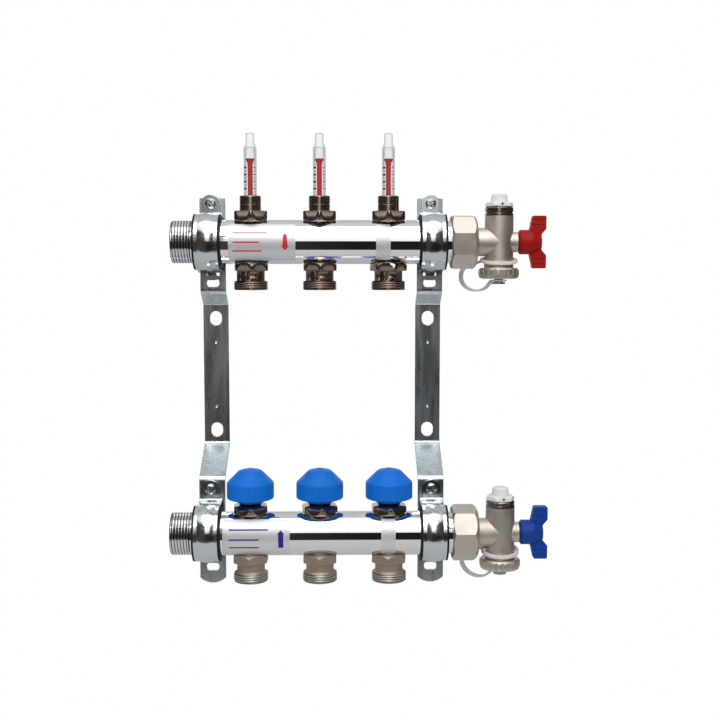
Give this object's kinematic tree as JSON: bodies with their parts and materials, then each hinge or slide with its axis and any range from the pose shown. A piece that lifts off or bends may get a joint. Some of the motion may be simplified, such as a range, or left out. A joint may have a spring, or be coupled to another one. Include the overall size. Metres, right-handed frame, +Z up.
{
  "type": "heating manifold",
  "caption": "Wall-mounted heating manifold: a supply bar with flow meters above a return bar with capped valves, on two cranked brackets, with vent and drain sets.",
  "frame": {"origin": "midway between the left bracket's two wall slots, on the plane of the wall", "axes": "+X along the bars towards the drain sets, +Y into the wall, +Z up"},
  "size_m": [0.2988, 0.0856, 0.3631],
  "materials": {
    "polished_bar": "polished tube",
    "dark_nickel": "bright nickel plate",
    "satin_nickel": "matt nickel plate",
    "bare_brass": "turned brass",
    "zinc_strip": "zinc-plated strip",
    "zinc_band": "bright zinc plate",
    "black_rubber": "soft black rubber",
    "clear_plastic": "clear moulded plastic",
    "red_plastic": "red rod",
    "blue_plastic": "moulded blue plastic",
    "white_plastic": "moulded white plastic",
    "red_handle": "moulded red plastic",
    "blue_handle": "moulded blue plastic",
    "grey_plastic": "soft grey plastic",
    "seal_fibre": "flat seal",
    "white_seal": "seat ring"
  },
  "bodies": {
    "root": {"supply_bar": "polished_bar", "return_bar": "polished_bar", "supply_outlet_1": "dark_nickel", "return_outlet_1": "satin_nickel", "flow_body_1": "dark_nickel", "valve_insert_1": "dark_nickel", "supply_outlet_2": "dark_nickel", "return_outlet_2": "satin_nickel", "flow_body_2": "dark_nickel", "valve_insert_2": "dark_nickel", "supply_outlet_3": "dark_nickel", "return_outlet_3": "satin_nickel", "flow_body_3": "dark_nickel", "valve_insert_3": "dark_nickel", "supply_end_piece": "satin_nickel", "supply_vent": "dark_nickel", "supply_drain_strap": "grey_plastic", "return_end_piece": "satin_nickel", "return_vent": "dark_nickel", "return_drain_strap": "grey_plastic", "left_bracket": "zinc_strip", "right_bracket": "zinc_strip", "clamp_bands": "zinc_band", "clamp_rubbers": "black_rubber", "clamp_screws": "zinc_band", "union_nuts": "satin_nickel", "union_gaskets": "seal_fibre", "drain_seats": "white_seal"},
    "flow_throttle_1": {"flow_spindle_1": "bare_brass"},
    "flow_setting_1": {"flow_sleeve_1": "dark_nickel", "sight_glass_1": "clear_plastic"},
    "flow_reading_1": {"flow_indicator_1": "red_plastic"},
    "valve_stem_1": {"valve_spindle_1": "bare_brass"},
    "valve_knob_1": {"valve_cap_1": "blue_plastic"},
    "flow_throttle_2": {"flow_spindle_2": "bare_brass"},
    "flow_setting_2": {"flow_sleeve_2": "dark_nickel", "sight_glass_2": "clear_plastic"},
    "flow_reading_2": {"flow_indicator_2": "red_plastic"},
    "valve_stem_2": {"valve_spindle_2": "bare_brass"},
    "valve_knob_2": {"valve_cap_2": "blue_plastic"},
    "flow_throttle_3": {"flow_spindle_3": "bare_brass"},
    "flow_setting_3": {"flow_sleeve_3": "dark_nickel", "sight_glass_3": "clear_plastic"},
    "flow_reading_3": {"flow_indicator_3": "red_plastic"},
    "valve_stem_3": {"valve_spindle_3": "bare_brass"},
    "valve_knob_3": {"valve_cap_3": "blue_plastic"},
    "supply_drain_valve": {"supply_drain_ball": "polished_bar", "supply_drain_stem": "bare_brass", "supply_drain_handle": "red_handle"},
    "supply_vent_swivel": {"supply_vent_cap": "white_plastic"},
    "supply_drain_seal": {"supply_drain_washer": "black_rubber"},
    "supply_drain_closure": {"supply_drain_cap": "satin_nickel"},
    "return_drain_valve": {"return_drain_ball": "polished_bar", "return_drain_stem": "bare_brass", "return_drain_handle": "blue_handle"},
    "return_vent_swivel": {"return_vent_cap": "white_plastic"},
    "return_drain_seal": {"return_drain_washer": "black_rubber"},
    "return_drain_closure": {"return_drain_cap": "satin_nickel"}
  },
  "joints": [
    {"name": "flow_throttle_lift_1", "type": "slide", "parent": "root", "child": "flow_throttle_1", "axis": [0, 0, 1], "range_m": [0, 0.0025]},
    {"name": "flow_sleeve_turn_1", "type": "hinge", "parent": "flow_throttle_1", "child": "flow_setting_1", "pos_m": [0.0327, -0.0404, 0.1445], "axis": [0, 0, 1], "range_deg": [0, 901]},
    {"name": "flow_indicator_slide_1", "type": "slide", "parent": "flow_throttle_1", "child": "flow_reading_1", "axis": [0, 0, 1], "range_m": [-0.0195, 0], "stiffness_N_per_m": 10, "springref_m": 0.004},
    {"name": "flow_throttle_lift_2", "type": "slide", "parent": "root", "child": "flow_throttle_2", "axis": [0, 0, 1], "range_m": [0, 0.0025]},
    {"name": "flow_sleeve_turn_2", "type": "hinge", "parent": "flow_throttle_2", "child": "flow_setting_2", "pos_m": [0.0877, -0.0404, 0.1445], "axis": [0, 0, 1], "range_deg": [0, 901]},
    {"name": "flow_indicator_slide_2", "type": "slide", "parent": "flow_throttle_2", "child": "flow_reading_2", "axis": [0, 0, 1], "range_m": [-0.0195, 0], "stiffness_N_per_m": 10, "springref_m": 0.004},
    {"name": "flow_throttle_lift_3", "type": "slide", "parent": "root", "child": "flow_throttle_3", "axis": [0, 0, 1], "range_m": [0, 0.0025]},
    {"name": "flow_sleeve_turn_3", "type": "hinge", "parent": "flow_throttle_3", "child": "flow_setting_3", "pos_m": [0.1427, -0.0404, 0.1445], "axis": [0, 0, 1], "range_deg": [0, 901]},
    {"name": "flow_indicator_slide_3", "type": "slide", "parent": "flow_throttle_3", "child": "flow_reading_3", "axis": [0, 0, 1], "range_m": [-0.0195, 0], "stiffness_N_per_m": 10, "springref_m": 0.004},
    {"name": "valve_stem_slide_1", "type": "slide", "parent": "root", "child": "valve_stem_1", "axis": [0, 0, 1], "range_m": [-0.00226, 0]},
    {"name": "valve_cap_turn_1", "type": "hinge", "parent": "valve_stem_1", "child": "valve_knob_1", "pos_m": [0.0327, -0.0623, -0.0865], "axis": [0, 0, 1], "range_deg": [-540, 0]},
    {"name": "valve_stem_slide_2", "type": "slide", "parent": "root", "child": "valve_stem_2", "axis": [0, 0, 1], "range_m": [-0.00226, 0]},
    {"name": "valve_cap_turn_2", "type": "hinge", "parent": "valve_stem_2", "child": "valve_knob_2", "pos_m": [0.0877, -0.0623, -0.0865], "axis": [0, 0, 1], "range_deg": [-540, 0]},
    {"name": "valve_stem_slide_3", "type": "slide", "parent": "root", "child": "valve_stem_3", "axis": [0, 0, 1], "range_m": [-0.00226, 0]},
    {"name": "valve_cap_turn_3", "type": "hinge", "parent": "valve_stem_3", "child": "valve_knob_3", "pos_m": [0.1427, -0.0623, -0.0865], "axis": [0, 0, 1], "range_deg": [-540, 0]},
    {"name": "supply_drain_handle_turn", "type": "hinge", "parent": "root", "child": "supply_drain_valve", "pos_m": [0.2465, -0.0404, 0.1095], "axis": [1, 0, 0], "range_deg": [0, 90]},
    {"name": "supply_vent_cap_turn", "type": "hinge", "parent": "root", "child": "supply_vent_swivel", "pos_m": [0.2315, -0.0404, 0.1395], "axis": [0, 0, 1], "continuous": true},
    {"name": "supply_drain_seal_slide", "type": "slide", "parent": "root", "child": "supply_drain_seal", "axis": [0, 0, 1], "range_m": [-0.00545, 0], "deforming": ["supply_drain_strap"]},
    {"name": "supply_drain_cap_turn", "type": "hinge", "parent": "supply_drain_seal", "child": "supply_drain_closure", "pos_m": [0.2315, -0.0404, 0.0845], "axis": [0, 0, 1], "range_deg": [-1080, 0]},
    {"name": "return_drain_handle_turn", "type": "hinge", "parent": "root", "child": "return_drain_valve", "pos_m": [0.2465, -0.0623, -0.1215], "axis": [1, 0, 0], "range_deg": [0, 90]},
    {"name": "return_vent_cap_turn", "type": "hinge", "parent": "root", "child": "return_vent_swivel", "pos_m": [0.2315, -0.0623, -0.0915], "axis": [0, 0, 1], "continuous": true},
    {"name": "return_drain_seal_slide", "type": "slide", "parent": "root", "child": "return_drain_seal", "axis": [0, 0, 1], "range_m": [-0.00545, 0], "deforming": ["return_drain_strap"]},
    {"name": "return_drain_cap_turn", "type": "hinge", "parent": "return_drain_seal", "child": "return_drain_closure", "pos_m": [0.2315, -0.0623, -0.1465], "axis": [0, 0, 1], "range_deg": [-1080, 0]}
  ],
  "couplings": [
    {"joint": "flow_sleeve_turn_1", "follows": "flow_throttle_lift_1", "rad_per_m": 6283.2},
    {"joint": "flow_sleeve_turn_2", "follows": "flow_throttle_lift_2", "rad_per_m": 6283.2},
    {"joint": "flow_sleeve_turn_3", "follows": "flow_throttle_lift_3", "rad_per_m": 6283.2},
    {"joint": "valve_stem_slide_1", "follows": "valve_cap_turn_1", "m_per_rad": 0.00023873},
    {"joint": "valve_stem_slide_2", "follows": "valve_cap_turn_2", "m_per_rad": 0.00023873},
    {"joint": "valve_stem_slide_3", "follows": "valve_cap_turn_3", "m_per_rad": 0.00023873},
    {"joint": "supply_drain_seal_slide", "follows": "supply_drain_cap_turn", "m_per_rad": 0.00028871},
    {"joint": "return_drain_seal_slide", "follows": "return_drain_cap_turn", "m_per_rad": 0.00028871}
  ]
}
